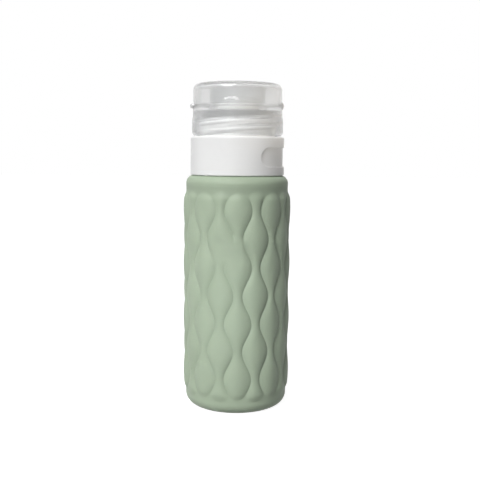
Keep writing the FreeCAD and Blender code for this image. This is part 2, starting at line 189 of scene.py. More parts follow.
def eased_outline(corners: list[Corner], closed: bool, steps: int) -> np.ndarray:
    """Trace an outline whose corners are circular arcs.

    At each corner the arc's centre lies on the bisector, and its points are found by turning evenly from
    one tangent point to the other. A guard point just before and after each arc keeps the flats flat.

    Args:
        corners: Corners in order, outside going up.
        closed: Whether the last corner joins the first.
        steps: Points on each arc.

    Returns:
        Array of (radius, height) points.
    """
    data = np.array([tuple(corner) for corner in corners], float)
    place, rounding = data[:, :2], data[:, 2:]
    back = np.roll(place, 1, axis=0) - place
    ahead = np.roll(place, -1, axis=0) - place
    if not closed:
        back[0], ahead[-1] = -ahead[0], -back[-1]
    back_length = np.linalg.norm(back, axis=1, keepdims=True)
    ahead_length = np.linalg.norm(ahead, axis=1, keepdims=True)
    back, ahead = back / back_length, ahead / ahead_length
    half = np.arccos(np.clip((back * ahead).sum(1, keepdims=True), -1, 1)) / 2
    back_room = back_length * np.where(np.roll(rounding, 1, axis=0) > 0, SHARED_ROOM, LONE_ROOM)
    ahead_room = ahead_length * np.where(np.roll(rounding, -1, axis=0) > 0, SHARED_ROOM, LONE_ROOM)
    reach = np.minimum(rounding / np.tan(np.maximum(half, TINY)), np.minimum(back_room, ahead_room))
    bisector = back + ahead
    bisector = bisector / np.maximum(np.linalg.norm(bisector, axis=1, keepdims=True), TINY)
    centre = place + bisector * reach * np.tan(half) / np.maximum(np.sin(half), TINY)
    first = (place + back * reach - centre)[:, None]
    last = (place + ahead * reach - centre)[:, None]
    share = np.linspace(0, 1, steps)[None, :, None]
    sweep = np.maximum(np.pi - 2 * half, TINY)[:, :, None]
    arc = np.sin((1 - share) * sweep) * first + np.sin(share * sweep) * last
    points = centre[:, None] + arc / np.sin(sweep)
    points = np.where((reach < TINY)[:, :, None], place[:, None], points)
    back_spare = np.maximum(back_length - reach - np.roll(reach, 1, axis=0), 0)
    ahead_spare = np.maximum(ahead_length - reach - np.roll(reach, -1, axis=0), 0)
    before = np.minimum(GUARD, GUARD_SHARE * back_spare)[:, :, None] * back[:, None] + points[:, :1]
    after = np.minimum(GUARD, GUARD_SHARE * ahead_spare)[:, :, None] * ahead[:, None] + points[:, -1:]
    points = np.concatenate([before, points, after], axis=1).reshape(-1, 2)
    if not closed:
        points = points[1:-1]
    previous = points[-1:] if closed else points[:1] - 1
    step = np.linalg.norm(np.diff(points, axis=0, prepend=previous), axis=1)
    return points[step > LEAST_STEP]


def turned(
    corners: list[Corner],
    closed: bool,
    segments: int = TURN_STEPS,
    arc_steps: int = ARC_STEPS,
    start: float = 0.0,
) -> Surface:
    """Ease an outline and turn it round the bottle's axis: x = r cos a, y = r sin a, z = z.

    Args:
        corners: Corners of the outline.
        closed: Whether the outline is a loop, as on a ring.
        segments: Steps round the axis.
        arc_steps: Points on each eased corner.
        start: Angle of the first step, in radians.

    Returns:
        The turned surface.
    """
    outline = eased_outline(corners, closed, arc_steps)
    angle = start + np.linspace(0, FULL_TURN, segments, endpoint=False)[None, :]
    radius, height = outline[:, :1], outline[:, 1:]
    points = np.stack(np.broadcast_arrays(radius * np.cos(angle), radius * np.sin(angle), height), axis=-1)
    return Surface(points.reshape(-1, 3), grid_faces(len(outline), segments, closed, True))


def plain_ring(bore: float, radius: float, bottom: float, top: float, inner_ease: Ease) -> Surface:
    """Turn a ring of rectangular section with eased edges.

    Args:
        bore: Inner radius.
        radius: Outer radius.
        bottom: Height of its lower face.
        top: Height of its upper face.
        inner_ease: Radius that eases the two inner edges.

    Returns:
        The closed ring.
    """
    corners = [
        Corner(bore, bottom, inner_ease),
        Corner(radius, bottom, Ease.FINE),
        Corner(radius, top, Ease.FINE),
        Corner(bore, top, inner_ease),
    ]
    return turned(corners, True)


def swept_ridge(
    section: np.ndarray, angle: np.ndarray, radius: float, height: np.ndarray | float, swell: np.ndarray
) -> Surface:
    """Carry a closed section along a path round the axis.

    The section's first number is added to the path's radius and its second to the path's height, both
    times the swell at that place, so a swell of zero closes the ridge to a point at its ends.

    Args:
        section: Loop of (outward, upward) offsets.
        angle: Angles of the path, in radians.
        radius: Radius of the path.
        height: Height of the path, even or at each angle.
        swell: Size of the section at each angle, from 0 to 1.

    Returns:
        The closed ridge.
    """
    reach = radius + swell[:, None] * section[None, :, 0]
    rise = np.reshape(height, (-1, 1)) + swell[:, None] * section[None, :, 1]
    points = np.stack([reach * np.cos(angle)[:, None], reach * np.sin(angle)[:, None], rise], axis=-1)
    return Surface(points.reshape(-1, 3), grid_faces(len(angle), len(section), False, True))


@dataclass(frozen=True)
class Thread:
    """Screw thread of several starts, each a blunt tooth wound on a cylinder round the bottle's axis."""

    tooth: tuple[Pair, ...]
    rise: float
    bottom: float
    turns: float
    steps: int
    offset: float = 0.0
    starts: int = 2
    lead: float = 6.0
    run_out: float = 0.1

    def ridges(self, radius: float) -> list[Surface]:
        """Wind the tooth up a helix, once for each start.

        Height grows with the angle by the lead per turn. The starts are spaced evenly round the axis, after
        an offset in turns. The tooth swells and dies away over the run-out, a share of its length.

        Args:
            radius: Radius of the cylinder that the thread is on.

        Returns:
            One closed ridge for each start.
        """
        section = np.array(self.tooth) * np.array([self.rise, 1.0])
        share = np.linspace(0, 1, self.steps)
        swell = np.clip(np.minimum(share, 1 - share) / self.run_out, 0, 1)
        height = self.bottom + share * self.turns * self.lead
        angles = [
            FULL_TURN * (share * self.turns + start / self.starts + self.offset)
            for start in range(self.starts)
        ]
        return [swept_ridge(section, angle, radius, height, swell) for angle in angles]


def make_piece(name: str, surface: Surface, sharp_angle: float = SHARP_ANGLE) -> bpy.types.Object:
    """Turn a surface into a welded, smoothly shaded mesh object at the origin.

    Args:
        name: Name of the piece.
        surface: Points in millimetres and faces.
        sharp_angle: Edges that turn by more than this many degrees stay crisp.

    Returns:
        The new object, linked into the scene.
    """
    mesh = bpy.data.meshes.new(name)
    mesh.from_pydata((surface.points * MM).tolist(), [], surface.faces.tolist())
    if surface.shade is not None:
        layer = mesh.attributes.new("shade", "FLOAT", "POINT")
        layer.data.foreach_set("value", surface.shade.astype(np.float32))
    shape = bmesh.new()
    shape.from_mesh(mesh)
    bmesh.ops.remove_doubles(shape, verts=shape.verts, dist=WELD_REACH)
    bmesh.ops.recalc_face_normals(shape, faces=shape.faces)
    shape.to_mesh(mesh)
    shape.free()
    mesh.shade_smooth()
    mesh.set_sharp_from_angle(angle=math.radians(sharp_angle))
    piece = bpy.data.objects.new(name, mesh)
    bpy.context.scene.collection.objects.link(piece)
    return piece


def fit(
    name: str, surface: Surface, seat: Seat, *finishes: bpy.types.Material, sharp_angle: float = SHARP_ANGLE
) -> bpy.types.Object:
    """Make a piece, dress it, fix it to its moving body and hide the solid that it stands for.

    Args:
        name: Name of the piece.
        surface: Points in millimetres and faces.
        seat: Body that it rides on, its slot of the record and the solid that it replaces.
        finishes: Its materials, of which every face starts with the first.
        sharp_angle: Edges that turn by more than this many degrees stay crisp.

    Returns:
        The finished piece.
    """
    piece = make_piece(name, surface, sharp_angle)
    for finish in finishes:
        piece.data.materials.append(finish)
    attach(piece, seat.body.value)
    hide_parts(seat.node)
    LOG.info("%s rides on %s with %d faces", name, seat.body.value, len(piece.data.polygons))
    return piece


def dress_solid(node: str, material: bpy.types.Material) -> None:
    """Give a solid that stays in the picture a better finish.

    Args:
        node: Name of the solid.
        material: Finish that takes the place of its plain one.
    """
    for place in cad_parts[node].material_slots:
        place.material = material
    LOG.info("%s keeps its solid, with %s", node, material.name)


class Nodes:
    """Small helper that adds and links shader nodes in one node tree."""

    def __init__(
        self, owner: bpy.types.Material | bpy.types.World, output: str = "ShaderNodeOutputMaterial"
    ) -> None:
        """Start an empty node tree with its output.

        Args:
            owner: Material or world that the tree belongs to.
            output: Node type of the tree's output.
        """
        owner.use_nodes = True
        self.owner = owner
        self.tree = owner.node_tree
        self.tree.nodes.clear()
        self.output = self.add(output)

    @classmethod
    def named(cls, name: str) -> "Nodes":
        """Start a new material of this name."""
        return cls(bpy.data.materials.new(name))

    def add(
        self, kind: str, values: dict[str | int, object] | None = None, **settings: object
    ) -> bpy.types.Node:
        """Add a node, set its properties and give its input sockets their values.

        Args:
            kind: Blender's node type name.
            values: Values of input sockets, by name or number.
            settings: Node properties to set.

        Returns:
            The new node.
        """
        node = self.tree.nodes.new(kind)
        for key, value in settings.items():
            setattr(node, key, value)
        for socket, value in (values or {}).items():
            node.inputs[socket].default_value = value
        return node

    def link(self, start: Socket, end: Socket) -> None:
        """Link an output socket to an input socket."""
        self.tree.links.new(start, end)

    def maths(self, operation: str, first: Socket, second: Socket | None = None) -> Socket:
        """Combine one or two values.

        Args:
            operation: Blender's name of the operation.
            first: First value's socket.
            second: Second value's socket, if the operation takes two.

        Returns:
            The result's socket, kept between 0 and 1.
        """
        node = self.add("ShaderNodeMath", operation=operation, use_clamp=True)
        self.link(first, node.inputs[0])
        if second is not None:
            self.link(second, node.inputs[1])
        return node.outputs[0]

    def white_for_eye(self) -> Socket:
        """Tell the rays that meet the eye from those that light a surface.

        Returns:
            A socket of 1 for rays seen directly, in gloss or through clear plastic, and 0 for others.
        """
        path = self.add("ShaderNodeLightPath").outputs
        seen = self.maths("MAXIMUM", path["Is Camera Ray"], path["Is Glossy Ray"])
        seen = self.maths("MAXIMUM", seen, path["Is Transmission Ray"])
        return self.maths("SUBTRACT", seen, path["Diffuse Depth"])

    def shade(self) -> Socket:
        """Read the shade that the piece's points carry: painted shade on the silicone, depth of tint on clear
        plastic.
        """
        return self.add("ShaderNodeAttribute", attribute_name="shade").outputs["Fac"]

    def noise(self, scale: float, detail: float = 3.0) -> Socket:
        """Add noise on the piece's own coordinates.

        Args:
            scale: Waves per metre.
            detail: Octaves of finer noise.

        Returns:
            The noise value's socket.
        """
        place = self.add("ShaderNodeTexCoord")
        texture = self.add("ShaderNodeTexNoise", {"Scale": scale, "Detail": detail})
        self.link(place.outputs["Object"], texture.inputs["Vector"])
        return texture.outputs["Fac"]

    def ramp(self, value: Socket, low: float, high: float, start: float = 0.0, end: float = 1.0) -> Socket:
        """Map a value onto a range.

        Args:
            value: Socket to map.
            low: Result at the start.
            high: Result at the end.
            start: Value where the range starts.
            end: Value where it ends.

        Returns:
            The mapped value's socket.
        """
        limits = {"From Min": start, "From Max": end, "To Min": low, "To Max": high}
        node = self.add("ShaderNodeMapRange", limits)
        self.link(value, node.inputs["Value"])
        return node.outputs["Result"]

    def mix(self, factor: Socket, low: Triple, high: Triple) -> Socket:
        """Mix two colours.

        Args:
            factor: Socket that runs from the first colour to the second.
            low: First colour.
            high: Second colour.

        Returns:
            The mixed colour's socket.
        """
        # A mix node takes its two colours in sockets 6 and 7, and gives the mixed colour in socket 2.
        node = self.add("ShaderNodeMix", {6: (*low, 1.0), 7: (*high, 1.0)}, data_type="RGBA")
        self.link(factor, node.inputs[0])
        return node.outputs[2]

    def bump(self, height: Socket, strength: float, distance: float) -> Socket:
        """Add a bump from a height.

        Args:
            height: Height socket.
            strength: Share of the bump that shows.
            distance: Height of the bump in metres.

        Returns:
            The bent normal's socket.
        """
        node = self.add("ShaderNodeBump", {"Strength": strength, "Distance": distance})
        self.link(height, node.inputs["Height"])
        return node.outputs["Normal"]

    def principled(self, **values: object) -> bpy.types.Node:
        """Add the surface shader and link it to the output.

        Args:
            values: Socket values, with spaces in socket names written as underscores.

        Returns:
            The shader node.
        """
        sockets = {key.replace("_", " "): value for key, value in values.items()}
        shader = self.add("ShaderNodeBsdfPrincipled", sockets)
        self.link(shader.outputs["BSDF"], self.output.inputs["Surface"])
        return shader


@dataclass(frozen=True)
class Grain:
    """Fine texture of a finish: patches of rougher surface, and ripples of a height in millimetres."""

    patch_scale: float
    smoother: float
    rougher: float
    ripple_scale: float
    ripple_strength: float
    ripple_height: float
    ripple_detail: float = 3.0

    def apply(self, nodes: Nodes, shader: bpy.types.Node, roughness: float) -> None:
        """Link the patches and the ripples to a shader.

        Args:
            nodes: Node tree that holds the shader.
            shader: Surface shader of the finish.
            roughness: Middling roughness of the finish.
        """
        patches = nodes.noise(self.patch_scale)
        rough = nodes.ramp(patches, roughness - self.smoother, roughness + self.rougher)
        nodes.link(rough, shader.inputs["Roughness"])
        ripples = nodes.noise(self.ripple_scale, self.ripple_detail)
        normal = nodes.bump(ripples, self.ripple_strength, self.ripple_height * MM)
        nodes.link(normal, shader.inputs["Normal"])


@dataclass(frozen=True)
class SiliconeFinish:
    """Matt moulded silicone: soft mottling, painted shade in its grooves and under the shoulder's rim, and a
    fine grain.
    """

    colour: Triple = (0.372, 0.455, 0.336)
    pale: Triple = (0.402, 0.487, 0.364)
    mottle_scale: float = 70.0
    # Colour scale where the painted shade is full.
    painted_shade_dark: float = 0.86
    roughness: float = 0.55
    sheen: float = 0.06
    sheen_roughness: float = 0.45
    bend: float = 1.42
    grain: Grain = Grain(260.0, 0.05, 0.06, 2600.0, 0.25, 0.04, 4.0)

    def material(self) -> bpy.types.Material:
        """Mottle the base colour, darken it by the painted shade that the piece's points carry, and add the
        grain.

        Returns:
            The new material.
        """
        nodes = Nodes.named("sage_silicone")
        shader = nodes.principled(
            Sheen_Weight=self.sheen, Sheen_Roughness=self.sheen_roughness, IOR=self.bend
        )
        tone = nodes.mix(nodes.noise(self.mottle_scale), self.colour, self.pale)
        darken = nodes.add("ShaderNodeVectorMath", operation="SCALE")
        nodes.link(tone, darken.inputs[0])
        # Painted shade: the colour is scaled down where the points carry shade.
        nodes.link(nodes.ramp(nodes.shade(), 1.0, self.painted_shade_dark), darken.inputs["Scale"])
        nodes.link(darken.outputs[0], shader.inputs["Base Color"])
        self.grain.apply(nodes, shader, self.roughness)
        return nodes.owner


@dataclass(frozen=True)
class WhiteFinish:
    """Satin white moulded plastic with a faint flow in its tone."""

    name: str = "satin_white"
    colour: Triple = (0.87, 0.873, 0.87)
    pale: Triple = (0.895, 0.898, 0.895)
    flow_scale: float = 45.0
    roughness: float = 0.34
    bend: float = 1.46
    grain: Grain = Grain(180.0, 0.04, 0.05, 1500.0, 0.12, 0.03)

    def material(self) -> bpy.types.Material:
        """Let the base colour flow between its two tones and add the grain.

        Returns:
            The new material.
        """
        nodes = Nodes.named(self.name)
        shader = nodes.principled(IOR=self.bend)
        tone = nodes.mix(nodes.noise(self.flow_scale), self.colour, self.pale)
        nodes.link(tone, shader.inputs["Base Color"])
        self.grain.apply(nodes, shader, self.roughness)
        return nodes.owner


@dataclass(frozen=True)
class ClearFinish:
    """Natural translucent plastic: clear enough to see through, with a slight haze."""

    name: str = "natural_clear"
    colour: Triple = (0.897, 0.899, 0.899)
    deep: Triple = (0.68, 0.69, 0.692)
    roughness: float = 0.25
    clarity: float = 0.83
    lit_through_from: float = 0.5
    bend: float = 1.38
    shadow: float = 0.96
    gloss: float = 0.3
    gloss_bend: float = 1.4
    polish: float = 0.08
    grain: Grain = Grain(120.0, 0.02, 0.02, 300.0, 0.08, 0.05)

    def tone(self, nodes: Nodes) -> Socket:
        """Mix the base colour by the piece's own shade."""
        return nodes.mix(nodes.shade(), self.colour, self.deep)

    def material(self) -> bpy.types.Material:
        """Build hazy glass that, where it is clear enough, lets the lamps' light through it.

        Returns:
            The new material.
        """
        nodes = Nodes.named(self.name)
        shader = nodes.principled(
            Transmission_Weight=self.clarity,
            IOR=self.bend,
            Coat_Weight=self.gloss,
            Coat_Roughness=self.polish,
            Coat_IOR=self.gloss_bend,
        )
        nodes.link(self.tone(nodes), shader.inputs["Base Color"])
        self.grain.apply(nodes, shader, self.roughness)
        if self.clarity > self.lit_through_from:
            path = nodes.add("ShaderNodeLightPath")
            shadow = (self.shadow, self.shadow, self.shadow, 1.0)
            through = nodes.add("ShaderNodeBsdfTransparent", {"Color": shadow})
            either = nodes.add("ShaderNodeMixShader")
            nodes.link(path.outputs["Is Shadow Ray"], either.inputs[0])
            nodes.link(shader.outputs["BSDF"], either.inputs[1])
            nodes.link(through.outputs["BSDF"], either.inputs[2])
            nodes.link(either.outputs[0], nodes.output.inputs["Surface"])
        return nodes.owner


@dataclass(frozen=True)
class ValveFinish(ClearFinish):
    """Milky silicone with the fine cross slit that the liquid pushes open."""

    name: str = "milky_silicone"
    colour: Triple = (0.74, 0.75, 0.73)
    deep: Triple = (0.16, 0.16, 0.155)
    roughness: float = 0.4
    clarity: float = 0.35
    gloss: float = 0.0
    slit_length: float = 3.6
    slit_width: float = 0.10
    slit_end: float = 0.2

    def tone(self, nodes: Nodes) -> Socket:
        """Darken the base colour along two crossed lines, from the smaller and larger distance to the axes.

        Args:
            nodes: Node tree of the finish.

        Returns:
            The base colour's socket.
        """
        place = nodes.add("ShaderNodeSeparateXYZ")
        nodes.link(nodes.add("ShaderNodeTexCoord").outputs["Object"], place.inputs[0])
        across, along = (nodes.maths("ABSOLUTE", place.outputs[axis]) for axis in ("X", "Y"))
        near = nodes.maths("MINIMUM", across, along)
        far = nodes.maths("MAXIMUM", across, along)
        line = nodes.ramp(near, 1.0, 0.0, self.slit_width / 2 * MM, self.slit_width * MM)
        reach = nodes.ramp(far, 1.0, 0.0, (self.slit_length - self.slit_end) * MM, self.slit_length * MM)
        return nodes.mix(nodes.maths("MULTIPLY", line, reach), self.colour, self.deep)


@dataclass
class SiliconeBody:
    """Soft green body: foot, waved wall with a plain pad, shoulder and the lipped neck under the collar."""

    height: float = 95.0
    band_radius: float = 20.9
    cavity_radius: float = 18.7
    cavity_round: float = 4.0
    floor: float = 2.6
    ceiling: float = 92.2
    base_round: float = 5.2
    shoulder_round: float = 3.4
    neck_radius: float = 16.2
    neck_bore: float = 14.25
    lip_radius: float = 17.3
    lip_bottom: float = 106.5
    lip_top: float = 107.9
    recess_radius: float = 10.0
    recess_depth: float = 0.8
    recess_slope: float = 1.6
    foot_steps: int = 14
    neck_steps: int = 9
    wall_rows: int = 146
    wall_margin: float = 0.4
    wall_overlap: float = 0.2
    row_gap: float = 0.05
    lobes: int = 18
    cells: int = 20
    front_angle: float = 2.0
    lobe_rise: float = 1.12
    narrow_power: float = 0.6
    swing: float = 0.51
    first_bulge: float = 14.5
    wave_pitch: float = 22.35
    relief_bottom: float = 9.3
    relief_top: float = 85.2
    end_length: float = 4.0
    end_sink: float = 1.4
    end_blend: float = 0.05
    wave_end: float = 2.2
    # The next two set the painted shade in the grooves: how far it spreads across them and how dark it gets.
    groove_width: float = 0.14
    groove_painted_shade: float = 0.40
    rim_dip: float = 0.1
    rim_dip_height: float = 89.4
    rim_dip_reach: float = 1.9
    # How much of the dip under the rim is darkened as painted shade.
    rim_dip_painted_shade: float = 1.3
    skin_depth: float = 1.6
    pad_angles: Pair = (-30.0, 11.0)
    pad_heights: Pair = (60.0, 71.6)
    pad_edge: float = 3.2
    pad_fade: float = 1.4
    pad_rise: float = 0.72
    sharp_angle: float = 50.0
    finish: SiliconeFinish = field(default_factory=SiliconeFinish)

    def profile(self) -> tuple[np.ndarray, np.ndarray, np.ndarray]:
        """Trace the half section from the foot's centre, over the outside and down the inside to the floor.

        Returns:
            Radii, heights, and 1 where the row lies on the waved wall or 0 elsewhere.
        """
        low = self.base_round + self.wall_margin
        high = self.height - self.shoulder_round - self.wall_margin
        foot = eased_outline(
            [
                Corner(0.0, self.recess_depth),
                Corner(self.recess_radius, self.recess_depth, Ease.SOFT),
                Corner(self.recess_radius + self.recess_slope, 0.0, Ease.SOFT),
                Corner(self.band_radius, 0.0, self.base_round),
                Corner(self.band_radius, low + self.wall_overlap),
            ],
            False,
            self.foot_steps,
        )
        rows = np.linspace(low, high, self.wall_rows)
        wall = np.stack([np.full_like(rows, self.band_radius), rows], axis=1)
        rest = eased_outline(
            [
                Corner(self.band_radius, high - self.wall_overlap),
                Corner(self.band_radius, self.height, self.shoulder_round),
                Corner(self.neck_radius, self.height),
                Corner(self.neck_radius, self.lip_bottom),
                Corner(self.lip_radius, self.lip_bottom, Ease.FINE),
                Corner(self.lip_radius, self.lip_top, Ease.FINE),
                Corner(self.neck_bore, self.lip_top),
                Corner(self.neck_bore, self.ceiling, Ease.MEDIUM),
                Corner(self.cavity_radius, self.ceiling, self.shoulder_round),
                Corner(self.cavity_radius, self.floor, self.cavity_round),
                Corner(0.0, self.floor),
            ],
            False,
            self.neck_steps,
        )
        foot, rest = foot[foot[:, 1] < low - self.row_gap], rest[1:]
        outline = np.concatenate([foot, wall, rest])
        on_wall = np.concatenate([np.zeros(len(foot)), np.ones(len(wall)), np.zeros(len(rest))])
        return outline[:, 0], outline[:, 1], on_wall

    def surface(self) -> Surface:
        """Work out the skin.

        The wall is cut into lobes. A lobe's half angle is half the lobe pitch times 1 plus or minus the
        swing times a cosine of the height, so neighbours swell in turn. Across a lobe the wall rises as
        1 minus the square of the place from its middle, less in a narrow lobe, and sinks as a parabola
        past both ends of the relief. A smooth maximum joins it to the plain band, a smooth patch fades
        it out to the pad, and a bell-shaped dip runs round under the shoulder's rim.

        Returns:
            The closed skin, with painted shade that darkens its grooves and the dip under the rim.
        """
        radius, height, on_wall = (values[:, None] for values in self.profile())
        lobe = np.repeat(np.arange(self.lobes), self.cells)[None, :]
        across = np.tile(np.arange(self.cells) / self.cells * 2 - 1, self.lobes)[None, :]
        pitch = FULL_TURN / self.lobes
        side = np.where(lobe % 2 == 0, 1.0, -1.0)
        outside = np.maximum(self.relief_bottom - height, height - self.relief_top)
        past = np.maximum(outside, 0) / self.end_length
        fade = on_wall * np.clip(self.wave_end - past, 0, 1)
        wave = np.cos(FULL_TURN * (height - self.first_bulge) / self.wave_pitch)
        share = (1 + side * self.swing * wave * fade) / 2
        angle = math.radians(self.front_angle) + lobe * pitch + across * share * pitch
        crest = self.lobe_rise * (2 * share / (1 + self.swing)) ** self.narrow_power
        rise = crest * (1 - across**2) - self.end_sink * past**2
        pad = self.pad_mask(angle, height)
        rise = rise * (1 - pad) + self.pad_rise * pad
        smooth = (rise + np.sqrt(rise**2 + self.end_blend * past)) / 2
        rise = np.where(past > 0, smooth, rise)
        dip = np.exp(-(((height - self.rim_dip_height) / self.rim_dip_reach) ** 2))
        dip = dip * np.clip(radius - self.band_radius + self.skin_depth, 0, 1)
        reach = radius + on_wall * rise - self.rim_dip * dip
        points = np.stack(
            np.broadcast_arrays(reach * np.sin(angle), -reach * np.cos(angle), height), axis=-1
        )
        # Painted shade: the colour is darkened along the grooves and in the dip under the shoulder's rim.
        near = np.exp(-(((1 - np.abs(across)) * share / self.groove_width) ** 2))
        painted_groove = self.groove_painted_shade * on_wall * (1 - pad) * np.clip(1 - past, 0, 1) * near
        painted_shade = np.maximum(painted_groove, np.minimum(self.rim_dip_painted_shade * dip, 1.0))
        faces = grid_faces(len(radius), self.lobes * self.cells, False, True)
        return Surface(points.reshape(-1, 3), faces, np.broadcast_to(painted_shade, points.shape[:2]).reshape(-1))

    def pad_mask(self, angle: np.ndarray, height: np.ndarray) -> np.ndarray:
        """Weigh the smooth pad: 1 on it, 0 away from it, with a soft edge and round corners.

        The weight is a smooth step of the distance past the pad's inset edge, 3 times its square less twice
        its cube.

        Args:
            angle: Angles from the front, in radians.
            height: Heights in millimetres.

        Returns:
            The weight at each place.
        """
        left, right = np.radians(self.pad_angles)
        bottom, top = self.pad_heights
        turn = (angle - (left + right) / 2 + np.pi) % FULL_TURN - np.pi
        beside = (np.abs(turn) - (right - left) / 2) * self.band_radius + self.pad_edge
        above = np.abs(height - (bottom + top) / 2) - (top - bottom) / 2 + self.pad_edge
        away = np.hypot(np.maximum(beside, 0), np.maximum(above, 0))
        edge = np.clip(1 - away / (self.pad_fade * self.pad_edge), 0, 1)
        return edge * edge * (3 - 2 * edge)

    def build(self) -> bpy.types.Object:
        """Make the body, dress it and seat it on the bottle."""
        seat = Seat(Body.BOTTLE, Slot.GREEN_SILICONE, "silicone_bottle")
        return fit(
            "silicone_skin", self.surface(), seat, self.finish.material(), sharp_angle=self.sharp_angle
        )


@dataclass
class NeckGroup:
    """White rigid neck with its thread, the clamp ring and the label ring."""

    bore: float = 12.6
    insert_radius: float = 14.2
    insert_bottom: float = 91.4
    flange_radius: float = 18.5
    flange_bottom: float = 107.9
    flange_top: float = 109.2
    spout_radius: float = 15.2
    spout_top: float = 116.9
    barbs: int = 3
    barb_rise: float = 0.35
    barb_length: float = 2.4
    barb_pitch: float = 4.0
    thread: Thread = Thread(
        tooth=((-0.3, -0.95), (0.6, -0.45), (1.0, -0.15), (1.0, 0.3), (0.6, 0.55), (-0.3, 0.8)),
        rise=0.5,
        bottom=111.7,
        turns=0.75,
        steps=160,
    )
    label_bore: float = 17.45
    label_radius: float = 18.5
    label_bottom: float = 96.6
    finish: WhiteFinish = field(default_factory=WhiteFinish)
    # Painted shade: the white neck is greyed to stand for the light that it loses under the clear cap.
    spout_finish: WhiteFinish = field(
        default_factory=lambda: WhiteFinish("neck_white_painted_shade", (0.60, 0.60, 0.595), (0.63, 0.63, 0.625))
    )

    def barb_corners(self) -> list[Corner]:
        """List the corners of the saw-tooth barbs up the tube.

        Returns:
            Three corners for each barb: its foot, its tip and the root above the tip.
        """
        corners = []
        for foot in self.flange_bottom - self.barb_pitch * np.arange(self.barbs, 0, -1):
            tip = foot + self.barb_length
            corners.append(Corner(self.insert_radius, foot))
            corners.append(Corner(self.insert_radius + self.barb_rise, tip, Ease.HAIR))
            corners.append(Corner(self.insert_radius, tip))
        return corners

    def spout(self) -> Surface:
        """Turn the neck's outline round the axis and wind its thread on the spout.

        Returns:
            Neck and thread in one surface.
        """
        corners = [
            Corner(self.bore, self.insert_bottom, Ease.MEDIUM),
            Corner(self.insert_radius, self.insert_bottom, Ease.MEDIUM),
            *self.barb_corners(),
            Corner(self.insert_radius, self.flange_bottom),
            Corner(self.flange_radius, self.flange_bottom, Ease.FINE),
            Corner(self.flange_radius, self.flange_top, Ease.FINE),
            Corner(self.spout_radius, self.flange_top, Ease.SMALL),
            Corner(self.spout_radius, self.spout_top, Ease.SOFT),
            Corner(self.bore, self.spout_top, Ease.SOFT),
        ]
        return turned(corners, True).joined(*self.thread.ridges(self.spout_radius))

    def build(self) -> list[bpy.types.Object]:
        """Make the neck and the label ring, dress them and the hidden clamp ring.

        Returns:
            The neck and the label ring.
        """
        white = self.finish.material()
        spout = fit(
            "threaded_neck",
            self.spout(),
            Seat(Body.BOTTLE, Slot.WHITE_PLASTIC, "neck_insert"),
            self.spout_finish.material(),
        )
        label = fit(
            "label_sleeve",
            plain_ring(self.label_bore, self.label_radius, self.label_bottom, self.flange_bottom, Ease.HAIR),
            Seat(Body.BOTTLE, Slot.WHITE_PLASTIC, "label_ring"),
            white,
        )
        dress_solid("clamp_ring", white)
        return [spout, label]


